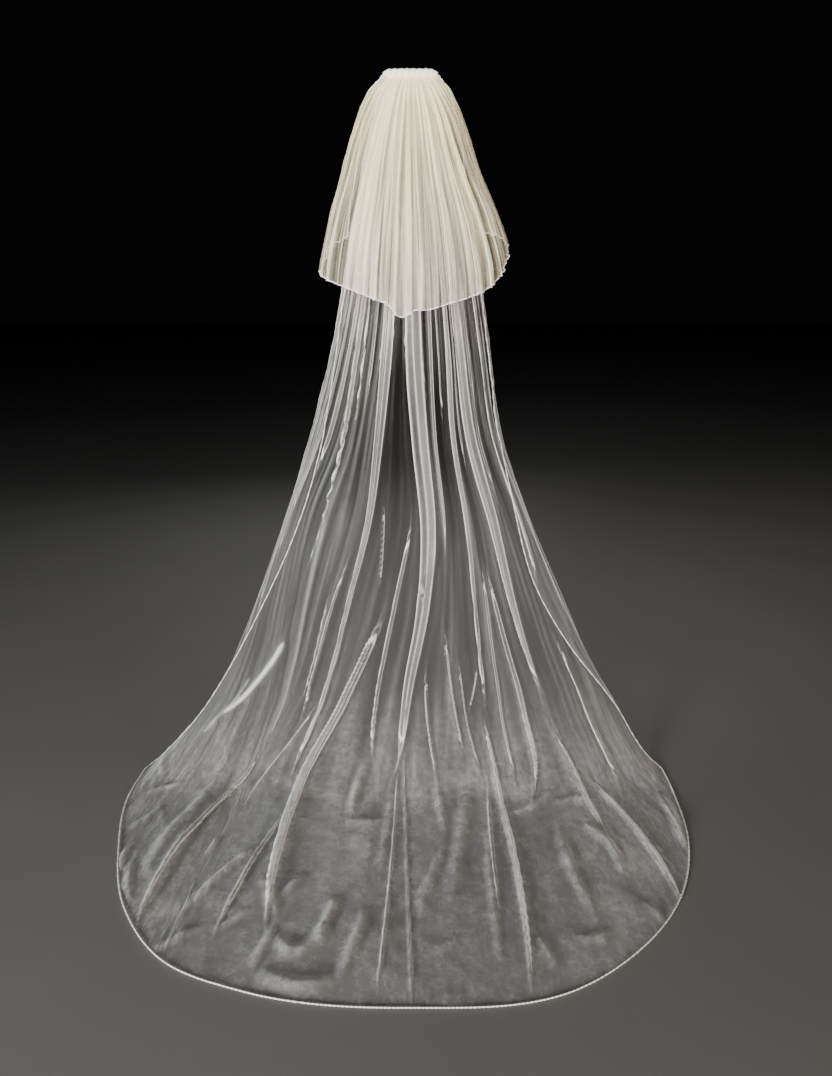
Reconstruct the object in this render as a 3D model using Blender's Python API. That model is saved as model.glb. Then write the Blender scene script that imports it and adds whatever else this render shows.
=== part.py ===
"""Two-tier bridal veil on a hair comb, hung from the comb with its train on the floor.

Metres, +Z up. The origin is the seat of the comb in the hair, the wearer faces +Y
and the train runs out towards -Y. Each tier is one sheet of tulle: `across` runs
from -1 at its left edge to 1 at its right edge, seen from behind the wearer, and
`run` is the way down the cloth from the comb, in metres.
"""
from collections import namedtuple
from math import pi, radians, sin

import bmesh
import bpy
import numpy as np

# Driving sizes
FLOOR_DROP = 1.82
CLOTH_WALL = 0.002
CORD_RADIUS = 0.0018
SEAM_GAP = 0.0003
LANDING_RADIUS = 0.20
OPEN_SCALE = 0.36
GATHER_LENGTH = 0.07
LOWER_START = 0.0009
UPPER_START = 0.0012

# Tucks start below the gather and are full a little lower down
TUCK_START = 0.24
TUCK_FULL = 0.50

# A fold rises and dies away over this share of its length, and over no more than this length
TAPER_SHARE = 0.30
TAPER_MOST = 0.16

# The bend from hanging to lying takes up no more than this share of a line's length on the floor
LANDING_SHARE = 0.80

# Step used to measure directions on the cloth, and the sharpest corner an edge cord mitres
MEASURE_STEP = 0.004
MITRE_LEAST = 0.60

# Grid of each tier. Columns are drawn together at the middle, where most folds are.
COLUMN_CROWDING = 0.40

LOWER_COLUMNS, LOWER_ROWS = 108, 19
UPPER_COLUMNS, UPPER_ROWS = 92, 8

# Level sections of a hanging tier: half widths to the left and right of the comb's
# middle, the depth of the curve in front of its middle line, and how far each side
# wraps round towards the wearer, in degrees from straight behind
Section = namedtuple("Section", "drop left right middle_y depth wrap_left wrap_right")

LOWER_SECTIONS = (
    Section(0.00, 0.060, 0.060, -0.003, 0.004, 90, 90),
    Section(0.05, 0.078, 0.078, 0.002, 0.018, 92, 92),
    Section(0.15, 0.108, 0.108, 0.010, 0.042, 96, 94),
    Section(0.28, 0.134, 0.138, 0.016, 0.064, 98, 94),
    Section(0.45, 0.168, 0.176, 0.020, 0.085, 98, 92),
    Section(0.63, 0.205, 0.205, 0.020, 0.098, 104, 94),
    Section(0.85, 0.266, 0.241, 0.020, 0.108, 114, 98),
    Section(1.07, 0.342, 0.318, 0.015, 0.114, 116, 112),
    Section(1.31, 0.433, 0.423, 0.008, 0.118, 108, 120),
    Section(1.50, 0.517, 0.514, 0.000, 0.118, 98, 112),
    Section(1.71, 0.647, 0.642, -0.012, 0.112, 92, 96),
    Section(FLOOR_DROP, 0.742, 0.698, -0.022, 0.105, 90, 90),
)

UPPER_SECTIONS = (
    Section(0.00, 0.070, 0.070, -0.010, 0.005, 90, 90),
    Section(0.02, 0.094, 0.092, -0.010, 0.022, 96, 96),
    Section(0.05, 0.112, 0.108, -0.004, 0.042, 106, 106),
    Section(0.09, 0.129, 0.127, 0.002, 0.060, 114, 114),
    Section(0.15, 0.151, 0.150, 0.008, 0.082, 120, 120),
    Section(0.22, 0.173, 0.177, 0.012, 0.102, 124, 126),
    Section(0.31, 0.201, 0.220, 0.014, 0.124, 128, 132),
    Section(0.43, 0.228, 0.258, 0.014, 0.146, 130, 136),
    Section(0.56, 0.240, 0.270, 0.014, 0.160, 130, 136),
)

# Oval end of the train, as its reach from a pole on the floor at each bearing in degrees
Reach = namedtuple("Reach", "bearing reach")
TRAIN_POLE_Y = -0.10
TRAIN_TURN = 88

TRAIN_END = (
    Reach(-TRAIN_TURN, 0.780),
    Reach(-78, 0.799),
    Reach(-64, 0.818),
    Reach(-48, 0.862),
    Reach(-36, 0.880),
    Reach(-23, 0.856),
    Reach(0, 0.826),
    Reach(23, 0.853),
    Reach(35, 0.842),
    Reach(48, 0.824),
    Reach(64, 0.784),
    Reach(78, 0.746),
    Reach(TRAIN_TURN, 0.734),
)

# Curved hem of the short tier: how far it hangs below the comb at each place across
Hem = namedtuple("Hem", "across drop")

UPPER_HEM = (
    Hem(-1.00, 0.345),
    Hem(-0.85, 0.372),
    Hem(-0.69, 0.428),
    Hem(-0.50, 0.452),
    Hem(-0.32, 0.474),
    Hem(-0.17, 0.500),
    Hem(-0.05, 0.530),
    Hem(0.06, 0.528),
    Hem(0.15, 0.511),
    Hem(0.24, 0.496),
    Hem(0.36, 0.468),
    Hem(0.50, 0.414),
    Hem(0.69, 0.361),
    Hem(0.85, 0.342),
    Hem(1.00, 0.330),
)

# Folds of the long tier keep to its grain lines, which sway sideways on their way down
GRAIN_LINES = {"left": -0.45, "half_left": -0.20, "middle": 0.03, "half_right": 0.22, "right": 0.40}

Sway = namedtuple("Sway", "run left half_left middle half_right right")

GRAIN_SWAY = (
    Sway(0.00, 0.00, 0.00, 0.00, 0.00, 0.00),
    Sway(0.65, 0.00, 0.00, -0.005, 0.065, 0.00),
    Sway(0.85, 0.01, 0.00, 0.025, 0.055, 0.01),
    Sway(1.05, -0.06, -0.01, 0.04, 0.03, -0.01),
    Sway(1.30, -0.06, -0.07, 0.005, -0.015, -0.055),
    Sway(1.60, -0.05, -0.14, -0.05, -0.02, -0.01),
    Sway(1.85, -0.02, -0.17, -0.065, -0.01, 0.05),
    Sway(2.00, -0.02, -0.17, -0.065, -0.01, 0.05),
)

# A fold runs down the cloth from `start` to `end`, at three places across. `half` is
# half its width and `height` how far it stands out. `tuck_left` and `tuck_right` say
# how far the cloth doubles under itself on that side, as a share of `half`.
Fold = namedtuple("Fold", "start end place_start place_middle place_end "
                          "half height tuck_left tuck_right")

HANGING_FOLDS = (
    Fold(0.00, 1.66, -0.82, -0.80, -0.74, 0.020, 0.010, 0.0, 0.0),
    Fold(0.00, 1.30, -0.63, -0.62, -0.58, 0.018, 0.010, 0.0, 0.0),
    Fold(0.00, 1.22, -0.45, -0.45, -0.45, 0.020, 0.014, 0.4, 0.0),
    Fold(0.00, 1.20, -0.31, -0.31, -0.31, 0.023, 0.018, 0.3, 0.0),
    Fold(0.00, 1.88, -0.20, -0.20, -0.20, 0.026, 0.022, 0.0, 0.5),
    Fold(0.00, 1.90, 0.03, 0.03, 0.03, 0.032, 0.022, 0.3, 0.4),
    Fold(0.00, 1.24, 0.135, 0.135, 0.135, 0.016, 0.012, 0.0, 0.3),
    Fold(0.00, 1.66, 0.22, 0.22, 0.22, 0.018, 0.015, 0.3, 0.3),
    Fold(0.00, 1.66, 0.40, 0.40, 0.40, 0.026, 0.022, 0.0, 0.4),
    Fold(0.00, 1.34, 0.60, 0.62, 0.58, 0.020, 0.014, 0.3, 0.0),
    Fold(0.00, 1.60, 0.82, 0.81, 0.76, 0.020, 0.010, 0.0, 0.0),
    Fold(0.98, 1.64, -0.085, -0.085, -0.085, 0.022, 0.016, 0.5, 0.0),
    Fold(1.18, 1.70, 0.315, 0.315, 0.315, 0.022, 0.015, 0.0, 0.4),
    Fold(1.32, 1.78, -0.38, -0.48, -0.66, 0.024, 0.015, 0.0, 0.0),
)

TRAIN_FOLDS = (
    Fold(1.34, 2.42, -0.07, -0.12, -0.10, 0.027, 0.026, 0.8, 0.0),
    Fold(1.70, 2.48, -0.37, -0.45, -0.43, 0.030, 0.020, 0.0, 0.0),
    Fold(1.60, 1.97, -0.15, -0.21, -0.25, 0.022, 0.014, 0.0, 0.0),
    Fold(1.98, 2.46, -0.14, -0.165, -0.175, 0.024, 0.014, 0.0, 0.0),
    Fold(1.76, 2.07, 0.01, -0.03, -0.04, 0.020, 0.012, 0.0, 0.0),
    Fold(1.86, 2.60, 0.03, 0.03, 0.02, 0.018, 0.012, 0.0, 0.4),
    Fold(1.72, 2.62, 0.055, 0.055, 0.065, 0.015, 0.010, 0.0, 0.0),
    Fold(1.56, 1.84, 0.165, 0.175, 0.195, 0.016, 0.012, 0.0, 0.0),
    Fold(1.60, 2.57, 0.22, 0.22, 0.18, 0.022, 0.018, 0.0, 0.4),
    Fold(1.56, 1.92, 0.25, 0.26, 0.27, 0.015, 0.012, 0.0, 0.0),
    Fold(1.62, 1.98, 0.295, 0.30, 0.29, 0.020, 0.014, 0.0, 0.3),
    Fold(1.66, 2.15, 0.385, 0.40, 0.39, 0.022, 0.014, 0.0, 0.3),
    Fold(1.84, 2.44, 0.425, 0.48, 0.45, 0.026, 0.016, 0.0, 0.0),
    Fold(1.58, 1.98, 0.53, 0.55, 0.54, 0.020, 0.012, 0.0, 0.0),
    Fold(1.98, 2.28, 0.72, 0.66, 0.60, 0.022, 0.012, 0.0, 0.0),
)

# Folds of the short tier: gathered at the comb and open at the hem
Gather = namedtuple("Gather", "across half height tuck_left tuck_right")

UPPER_GATHERS = (
    Gather(-0.93, 0.014, 0.008, 0.4, 0.0),
    Gather(-0.85, 0.014, 0.010, 0.0, 0.6),
    Gather(-0.77, 0.013, 0.008, 0.0, 0.0),
    Gather(-0.66, 0.016, 0.008, 0.3, 0.0),
    Gather(-0.56, 0.016, 0.010, 0.0, 0.4),
    Gather(-0.47, 0.014, 0.010, 0.4, 0.0),
    Gather(-0.39, 0.014, 0.009, 0.0, 0.4),
    Gather(-0.31, 0.015, 0.012, 0.5, 0.0),
    Gather(-0.23, 0.014, 0.010, 0.4, 0.0),
    Gather(-0.15, 0.015, 0.012, 0.0, 0.6),
    Gather(-0.08, 0.013, 0.012, 0.6, 0.0),
    Gather(-0.01, 0.013, 0.010, 0.0, 0.4),
    Gather(0.06, 0.014, 0.012, 0.0, 0.5),
    Gather(0.13, 0.013, 0.009, 0.4, 0.0),
    Gather(0.21, 0.015, 0.010, 0.0, 0.4),
    Gather(0.29, 0.013, 0.009, 0.0, 0.0),
    Gather(0.37, 0.015, 0.012, 0.5, 0.0),
    Gather(0.46, 0.016, 0.012, 0.5, 0.0),
    Gather(0.56, 0.016, 0.009, 0.0, 0.0),
    Gather(0.67, 0.016, 0.008, 0.3, 0.0),
    Gather(0.77, 0.014, 0.010, 0.0, 0.6),
    Gather(0.85, 0.014, 0.010, 0.5, 0.0),
    Gather(0.93, 0.013, 0.008, 0.0, 0.4),
)

# Comb and the gathered heading that is sewn to it
COMB_WIDTH = 0.104
COMB_THICKNESS = 0.0022
SPINE_HEIGHT = 0.007
TOOTH_COUNT = 20
TOOTH_WIDTH = 0.0024
TOOTH_LENGTH = 0.036
TOOTH_BEND = 0.006
HEADING_HALF_WIDTH = 0.066
HEADING_BOTTOM = 0.0003
HEADING_TOP = 0.021
HEADING_BACK = -0.020
HEADING_FRONT = 0.001
HEADING_PUFFS = 9
HEADING_STATIONS = 36
HEADING_SIDES = 10
PUFF_HEIGHT = 0.18
PUFF_DEPTH = 0.14
HEADING_END_DROP = 0.35
HEADING_PRESS = -0.55
SPINE_CHAMFER = 0.002
TOOTH_TAPER_MIDDLE = 0.15
TOOTH_TAPER_TIP = 0.30


def read(rows, column, places):
    """Smooth curve through one column of a table, read at the given places."""
    knots = np.array([row[0] for row in rows], float)
    values = np.array([getattr(row, column) for row in rows], float)
    slopes = np.gradient(values, knots)
    places = np.clip(places, knots[0], knots[-1])
    i = np.clip(np.searchsorted(knots, places, side="right") - 1, 0, len(knots) - 2)
    gap = knots[i + 1] - knots[i]
    t = (places - knots[i]) / gap
    start = (1 + 2 * t) * (1 - t) ** 2 * values[i] + t * (1 - t) ** 2 * gap * slopes[i]
    end = t * t * (3 - 2 * t) * values[i + 1] - t * t * (1 - t) * gap * slopes[i + 1]
    return start + end


def ease(t):
    """Smooth step from 0 to 1."""
    t = np.clip(t, 0, 1)
    return t * t * (3 - 2 * t)


def unit(vectors):
    return vectors / np.linalg.norm(vectors, axis=-1)[..., None]


def section_point(sections, across, drop):
    """Point of a hanging tier, before its folds."""
    left = across < 0
    half = np.where(left, read(sections, "left", drop), read(sections, "right", drop))
    wrap = np.where(left, read(sections, "wrap_left", drop), read(sections, "wrap_right", drop))
    turn = np.radians(wrap * across)
    x = half * np.sin(turn)
    y = read(sections, "middle_y", drop) - read(sections, "depth", drop) * np.cos(turn)
    return np.stack([x, y, -drop + 0 * x], -1)


def grain(place, run):
    """Where a grain line of the long tier lies across, after its sway."""
    lines = [-1, *GRAIN_LINES.values(), 1]
    across = place + 0 * run
    for before, line, after, name in zip(lines, lines[1:], lines[2:], GRAIN_LINES):
        left = ease((place - before) / (line - before))
        right = ease((after - place) / (after - line))
        across = across + read(GRAIN_SWAY, name, run) * np.where(place < line, left, right)
    return across


def train_line(across):
    """Where a line down the cloth lands on the floor, and where it ends at the hem."""
    turn = np.radians(TRAIN_TURN * across)
    reach = read(TRAIN_END, "reach", TRAIN_TURN * across)
    floor = np.full_like(across, FLOOR_DROP)
    hem = np.stack([reach * np.sin(turn), TRAIN_POLE_Y - reach * np.cos(turn), -floor], -1)
    return section_point(LOWER_SECTIONS, across, floor), hem


def lower_point(place, run):
    """Point of the long tier before its folds: down from the comb, then along the floor."""
    across = grain(place, run)
    landing, hem = train_line(across)
    length = np.linalg.norm(hem - landing, axis=-1)
    ahead = (hem - landing) / length[..., None]
    radius = np.minimum(LANDING_RADIUS, LANDING_SHARE * length)
    hung = section_point(LOWER_SECTIONS, across, np.minimum(run, FLOOR_DROP - radius))
    laid = landing + ahead * np.maximum(run - FLOOR_DROP, radius)[..., None]
    t = np.clip((run - FLOOR_DROP + radius) / (2 * radius), 0, 1)[..., None]
    bent = (1 - t) ** 2 * hung + 2 * t * (1 - t) * landing + t * t * laid
    return np.where(t == 0, hung, np.where(t == 1, laid, bent))


def upper_point(across, run):
    """Point of the short tier before its folds."""
    return section_point(UPPER_SECTIONS, across, run)


def lower_length(place):
    """Length of the long tier down one grain line."""
    landing, hem = train_line(grain(place, np.full_like(place, GRAIN_SWAY[-1].run)))
    return FLOOR_DROP + np.linalg.norm(hem - landing, axis=-1)


def upper_length(across):
    """Length of the short tier down one grain line."""
    return read(UPPER_HEM, "drop", across)


def frame_at(point, place, run):
    """Sideways direction, outward direction and metres across per unit of `place`."""
    step = MEASURE_STEP
    side = (point(place + step, run) - point(place - step, run)) / (2 * step)
    down = point(place, run + step) - point(place, run - step)
    return unit(side), unit(np.cross(down, side)), np.linalg.norm(side, axis=-1)


def fold_line(fold, run):
    """Place of a fold's ridge, through its three given places."""
    t = (run - fold.start) / (fold.end - fold.start)
    start = fold.place_start * (1 - t) * (1 - 2 * t)
    return start + fold.place_middle * 4 * t * (1 - t) + fold.place_end * t * (2 * t - 1)


def folded(point, folds, place, run):
    """Point of a tier with its folds raised and tucked."""
    base = point(place, run)
    side, out, scale = frame_at(point, place, run)
    open_share = np.minimum(1, scale / OPEN_SCALE)
    tucked = ease((run - TUCK_START) / (TUCK_FULL - TUCK_START))
    shift = np.zeros_like(run)
    rise = np.zeros_like(run)
    for fold in folds:
        half = fold.half * open_share
        away = (place - fold_line(fold, run)) * scale / half
        taper = min(TAPER_MOST, TAPER_SHARE * (fold.end - fold.start))
        begins = ease((run - fold.start) / (taper if fold.start else GATHER_LENGTH))
        ends = ease((fold.end - run) / taper)
        alive = begins * ends * (np.abs(away) < 1)
        rise += alive * fold.height * open_share * np.cos(0.5 * pi * away) ** 2
        tuck = np.where(away < 0, fold.tuck_left, fold.tuck_right)
        shift += alive ** 3 * tucked * tuck * half * np.sin(2 * pi * away)
    return base + side * shift[..., None] + out * rise[..., None]


def crowd(column):
    """Draw the columns of the long tier together at the middle, where most folds are."""
    return column * (1 - COLUMN_CROWDING + COLUMN_CROWDING * column ** 2)


def upper_folds():
    """Gathers of the short tier as folds that run its whole length."""
    return [Fold(0.0, 1.0, g.across, g.across, g.across, g.half, g.height, g.tuck_left, g.tuck_right)
            for g in UPPER_GATHERS]


def lower_tier(column, down):
    """Long tier at a column from -1 to 1, and at `down` from 0 at the comb to 1 at the hem."""
    place = crowd(column)
    run = LOWER_START + down * (lower_length(place) - LOWER_START)
    return folded(lower_point, HANGING_FOLDS + TRAIN_FOLDS, place, run)


def upper_tier(place, down):
    """Short tier at a column from -1 to 1, and at `down` from 0 at the comb to 1 at the hem."""
    run = UPPER_START + down * (upper_length(place) - UPPER_START)
    return folded(upper_point, upper_folds(), place, run)


def edge_route(tier, columns, rows):
    """Middle line of an edge cord: down the left side, round the hem and up the right."""
    across = columns + 1
    left = [row * across for row in range(rows - 1, 0, -1)]
    hem = list(range(across))
    right = [row * across + columns for row in range(1, rows)]
    border = [tier.data.vertices[i] for i in left + hem + right]
    edge = np.array([vert.co for vert in border])
    out = np.array([vert.normal for vert in border])
    steps = unit(np.diff(edge, axis=0))
    along = np.concatenate([steps[:1], (steps[:-1] + steps[1:]) / 2, steps[-1:]])
    mitre = np.maximum(np.linalg.norm(along, axis=-1), MITRE_LEAST)[:, None]
    away = unit(np.cross(along, out)) / mitre
    route = edge + away * (CORD_RADIUS + SEAM_GAP) + out * CORD_RADIUS
    route[:, 2] = np.maximum(route[:, 2], CORD_RADIUS - FLOOR_DROP)
    return route


def new_object(name, data, material):
    obj = bpy.data.objects.new(name, data)
    bpy.context.scene.collection.objects.link(obj)
    obj.data.materials.append(material)
    return obj


def mesh_object(name, bm, material, smooth_angle=40):
    mesh = bpy.data.meshes.new(name)
    bm.to_mesh(mesh)
    bm.free()
    mesh.shade_smooth()
    mesh.set_sharp_from_angle(angle=radians(smooth_angle))
    return new_object(name, mesh, material)


def new_material(name, colour, roughness):
    material = bpy.data.materials.new(name)
    material.use_nodes = True
    shader = material.node_tree.nodes["Principled BSDF"]
    shader.inputs["Base Color"].default_value = (*colour, 1)
    shader.inputs["Roughness"].default_value = roughness
    shader.inputs["Metallic"].default_value = 0
    return material


def build_tier(name, place_cloth, columns, rows, material):
    """One sheet of tulle, thickened outwards to a wall."""
    bm = bmesh.new()
    bmesh.ops.create_grid(bm, x_segments=columns, y_segments=rows, size=1)
    flat = np.array([vert.co for vert in bm.verts])
    for vert, place in zip(bm.verts, place_cloth(flat[:, 0], (1 - flat[:, 1]) / 2)):
        vert.co = place
    bmesh.ops.triangulate(bm, faces=bm.faces)
    obj = mesh_object(name, bm, material, smooth_angle=60)
    wall = obj.modifiers.new("Wall", "SOLIDIFY")
    wall.thickness = CLOTH_WALL
    wall.offset = 1
    return obj


def build_edge_cord(name, route, material):
    """Cord sewn along both sides and the hem of a tier."""
    curve = bpy.data.curves.new(name, "CURVE")
    curve.dimensions = "3D"
    curve.bevel_depth = CORD_RADIUS
    curve.bevel_resolution = 1
    curve.use_fill_caps = True
    spline = curve.splines.new("POLY")
    spline.points.add(len(route) - 1)
    for point, place in zip(spline.points, route):
        point.co = (*place, 1)
    return new_object(name, curve, material)


def build_heading(material):
    """Gathered heading: a puffed roll of tulle, pressed flat where it is sewn to both tiers."""
    middle_y = (HEADING_FRONT + HEADING_BACK) / 2
    half_depth = (HEADING_FRONT - HEADING_BACK) / 2
    rise = (HEADING_TOP - HEADING_BOTTOM) / (1 - HEADING_PRESS)
    bm = bmesh.new()
    previous = None
    for station in range(HEADING_STATIONS + 1):
        place = -1 + 2 * station / HEADING_STATIONS
        puff = abs(sin(place * pi * HEADING_PUFFS / 2))
        height = (1 - PUFF_HEIGHT * (1 - puff)) * (1 - HEADING_END_DROP * place ** 6)
        depth = half_depth * (1 - PUFF_DEPTH * (1 - puff))
        ring = bmesh.ops.create_circle(bm, segments=HEADING_SIDES, radius=1)["verts"]
        for vert in ring:
            up = max(vert.co.y, HEADING_PRESS) - HEADING_PRESS
            vert.co = (place * HEADING_HALF_WIDTH, middle_y + depth * vert.co.x,
                       HEADING_BOTTOM + rise * height * up)
        edges = {edge for vert in ring for edge in vert.link_edges}
        if previous is None or station == HEADING_STATIONS:
            bm.faces.new(ring)
        if previous is not None:
            bmesh.ops.bridge_loops(bm, edges=list(previous | edges))
        previous = edges
    bmesh.ops.recalc_face_normals(bm, faces=bm.faces)
    return mesh_object("gathered_heading", bm, material)


def tooth_outline(left):
    """Outline of one comb tooth, down its left side and up its right, from its left corner."""
    right = left + TOOTH_WIDTH
    waist = TOOTH_WIDTH * TOOTH_TAPER_MIDDLE
    tip = TOOTH_WIDTH * TOOTH_TAPER_TIP
    return [(left, 0), (left + waist, -TOOTH_LENGTH / 2), (left + tip, -TOOTH_LENGTH),
            (right - tip, -TOOTH_LENGTH), (right - waist, -TOOTH_LENGTH / 2), (right, 0)]


def build_comb(material):
    """Hair comb under the heading: a spine with a row of teeth that curve inwards."""
    half = COMB_WIDTH / 2
    shoulder = SPINE_HEIGHT - SPINE_CHAMFER
    pitch = (COMB_WIDTH - TOOTH_WIDTH) / (TOOTH_COUNT - 1)
    outline = [(half, shoulder), (half - SPINE_CHAMFER, SPINE_HEIGHT),
               (SPINE_CHAMFER - half, SPINE_HEIGHT), (-half, shoulder)]
    for tooth in range(TOOTH_COUNT):
        outline += tooth_outline(tooth * pitch - half)
    bm = bmesh.new()
    face = bm.faces.new([bm.verts.new((x, HEADING_FRONT + SEAM_GAP, z)) for x, z in outline])
    grown = bmesh.ops.extrude_face_region(bm, geom=[face])["geom"]
    for vert in [part for part in grown if isinstance(part, bmesh.types.BMVert)]:
        vert.co.y += COMB_THICKNESS
    for vert in bm.verts:
        vert.co.y += TOOTH_BEND * min(0, vert.co.z / TOOTH_LENGTH) ** 2
    bmesh.ops.recalc_face_normals(bm, faces=bm.faces)
    return mesh_object("comb", bm, material, smooth_angle=20)


def build_veil():
    for old in list(bpy.data.objects):
        bpy.data.objects.remove(old, do_unlink=True)
    tulle = new_material("ivory_tulle", (0.80, 0.77, 0.70), 0.85)
    short_tulle = new_material("warm_ivory_tulle", (0.84, 0.79, 0.69), 0.85)
    gathers = new_material("gathered_tulle", (0.88, 0.83, 0.72), 0.85)
    satin = new_material("ivory_satin_cord", (0.93, 0.91, 0.86), 0.40)
    short_satin = new_material("warm_satin_cord", (0.94, 0.90, 0.82), 0.40)
    plastic = new_material("clear_plastic", (0.86, 0.86, 0.82), 0.18)

    build_comb(plastic)
    build_heading(gathers)
    lower = build_tier("lower_tier", lower_tier, LOWER_COLUMNS, LOWER_ROWS, tulle)
    upper = build_tier("upper_tier", upper_tier, UPPER_COLUMNS, UPPER_ROWS, short_tulle)
    build_edge_cord("lower_edge_cord", edge_route(lower, LOWER_COLUMNS, LOWER_ROWS), satin)
    build_edge_cord("upper_edge_cord", edge_route(upper, UPPER_COLUMNS, UPPER_ROWS), short_satin)


build_veil()
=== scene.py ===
from collections import namedtuple
from math import pi, radians

import bmesh
import bpy
import numpy as np
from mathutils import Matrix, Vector


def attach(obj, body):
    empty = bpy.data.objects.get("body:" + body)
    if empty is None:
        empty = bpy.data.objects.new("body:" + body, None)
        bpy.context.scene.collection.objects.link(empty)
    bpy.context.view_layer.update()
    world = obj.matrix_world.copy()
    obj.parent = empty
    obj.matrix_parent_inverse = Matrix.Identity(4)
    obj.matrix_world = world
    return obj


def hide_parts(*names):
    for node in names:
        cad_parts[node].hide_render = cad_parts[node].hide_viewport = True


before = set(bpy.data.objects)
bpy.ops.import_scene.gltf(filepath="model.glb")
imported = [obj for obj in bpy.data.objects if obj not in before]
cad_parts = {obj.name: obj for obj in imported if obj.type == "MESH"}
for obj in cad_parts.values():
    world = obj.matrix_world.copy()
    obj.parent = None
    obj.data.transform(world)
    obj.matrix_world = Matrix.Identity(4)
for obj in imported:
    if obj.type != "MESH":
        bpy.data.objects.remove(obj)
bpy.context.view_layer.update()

# Sizes of the veil, in metres. The comb's seat is the origin, the wearer faces +Y and
# `run` is the way down the cloth from the comb.
FLOOR_DROP = 1.82
FLOOR_GAP = 0.0006
LANDING_RADIUS = 0.20
LANDING_SHARE = 0.80
OPEN_SCALE = 0.36
GATHER_LENGTH = 0.07
TUCK_START = 0.10
TUCK_FULL = 0.40
TAPER_SHARE = 0.30
TAPER_MOST = 0.18
MEASURE_STEP = 0.004
CORD_RADIUS = 0.0017
CORD_SWELL, CORD_BEAD, CORD_BEAD_TURN = 0.9, 0.35, 2.1
TIER_RISE = 0.006

# Turns of a tucked fold, where the net lies edge on, in shares of the fold's half width: the
# place of the upper turn, the width of its line, and how far the lines close up at the ends.
# The lower turn lies as far from the fold's edge as the upper turn does from its ridge.
FOLD_TURN = 0.285
TURN_WIDTH = 0.075
CLOSING = 1.6
FOLD_FAR = 3.0

# Share of a fold's stacked layers that its lower turn has, that an untucked fold has along its
# ridge, that a turn has before its tuck begins, and that lie between the turns
TURN_UNDER = 0.35
SOFT_STACK = 0.45
LOOSE_STACK = 0.4
BAND_SHARE = 0.012

# How slowly an untucked fold leaves its ridge, the tuck that doubles the cloth in full, and
# the least half width of a fold in metres
SOFT_RIDGE = 0.35
FULL_TUCK = 0.7
FOLD_LEAST = 0.005

# Fewest layers of net anywhere, the least share of its face that net shows edge on, and how
# far the clouds of the train, which paint soft shade and light, swing its layers
LEAST_LAYERS = 0.2
EDGE_ON = 0.25
SHADE_CLOUD_OCTAVES = 3.0

# Values at each vertex of a sheet for its material: layers of net, place across the nearest
# fold, and layers at that fold's upper and lower turns
MARKS = ("layers", "fold", "stack", "under")

# Columns of each sheet stand closer together at its folds, and rows towards its hem
CROWD_RUN = 1.7
CROWD_REACH = 0.013
CROWD_GAIN = 3.0
CROWD_MOST = 1.5
CROWD_STEPS = 4001
ROW_SPREAD = 1.3
LOWER_COLUMNS, LOWER_ROWS = 570, 170
UPPER_COLUMNS, UPPER_ROWS = 560, 110

# Where down the cloth its fine gathers and its crowding fade out and over how far, how far on
# each side of its landing the cloth comes to lie, and the share of its crumples while it hangs
GATHERS_FADE = (0.6, 0.8)
CROWDING_FADE = (1.0, 0.7)
LYING_REACH = 0.1
HUNG_CRUMPLES = 0.12
COMB_FADE = 0.10

# The short tier's sides are sheerer: by what share, from where across and over how far
SHEER_SHARE, SHEER_FROM, SHEER_OVER = 0.6, 0.35, 0.35

# Form of a ridge on the train, in shares of its half width, its layers of net on the crest, and the
# painted shade in the hollow beside it, drawn as layers of net taken away
RIDGE_POINTS = 25
RIDGE_END = 0.6
RIDGE_SLOPE = 1.6
CREST_SHARE, CREST_WIDTH = 0.5, 0.4
HOLLOW_SHADE_SHARE, HOLLOW_SHADE_AWAY, HOLLOW_SHADE_SPREAD = 0.12, 1.2, 0.2

# Flat cut of each tier
LOWER_CUT = (1.66, 2.75)
UPPER_CUT = (1.00, 0.56)

# Level sections of a hanging tier: half widths to the left and right of the comb's
# middle, the depth of the curve in front of its middle line, and how far each side
# wraps round towards the wearer, in degrees from straight behind
Section = namedtuple("Section", "drop left right middle_y depth wrap_left wrap_right")

LOWER_SECTIONS = (
    Section(0.00, 0.060, 0.060, -0.003, 0.004, 90, 90),
    Section(0.05, 0.078, 0.078, 0.002, 0.018, 92, 92),
    Section(0.15, 0.108, 0.108, 0.010, 0.042, 96, 94),
    Section(0.28, 0.134, 0.138, 0.016, 0.064, 98, 94),
    Section(0.45, 0.168, 0.176, 0.020, 0.085, 98, 92),
    Section(0.63, 0.205, 0.205, 0.020, 0.098, 104, 94),
    Section(0.85, 0.266, 0.241, 0.020, 0.108, 114, 98),
    Section(1.07, 0.342, 0.318, 0.015, 0.114, 116, 112),
    Section(1.31, 0.433, 0.423, 0.008, 0.118, 108, 120),
    Section(1.50, 0.517, 0.514, 0.000, 0.118, 98, 112),
    Section(1.71, 0.647, 0.642, -0.012, 0.112, 92, 96),
    Section(FLOOR_DROP, 0.742, 0.698, -0.022, 0.105, 90, 90),
)

UPPER_SECTIONS = (
    Section(0.00, 0.070, 0.070, -0.010, 0.005, 90, 90),
    Section(0.02, 0.094, 0.092, -0.010, 0.022, 96, 96),
    Section(0.05, 0.112, 0.108, -0.004, 0.042, 106, 106),
    Section(0.09, 0.129, 0.127, 0.002, 0.060, 114, 114),
    Section(0.15, 0.151, 0.150, 0.008, 0.082, 120, 120),
    Section(0.22, 0.173, 0.177, 0.012, 0.102, 124, 126),
    Section(0.31, 0.201, 0.220, 0.014, 0.124, 128, 132),
    Section(0.43, 0.228, 0.258, 0.014, 0.146, 130, 136),
    Section(0.56, 0.240, 0.270, 0.014, 0.160, 130, 136),
)

# Oval end of the train, as its reach from a pole on the floor at each bearing in degrees
Reach = namedtuple("Reach", "bearing reach")
TRAIN_POLE_Y = -0.10
TRAIN_TURN = 88

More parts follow.
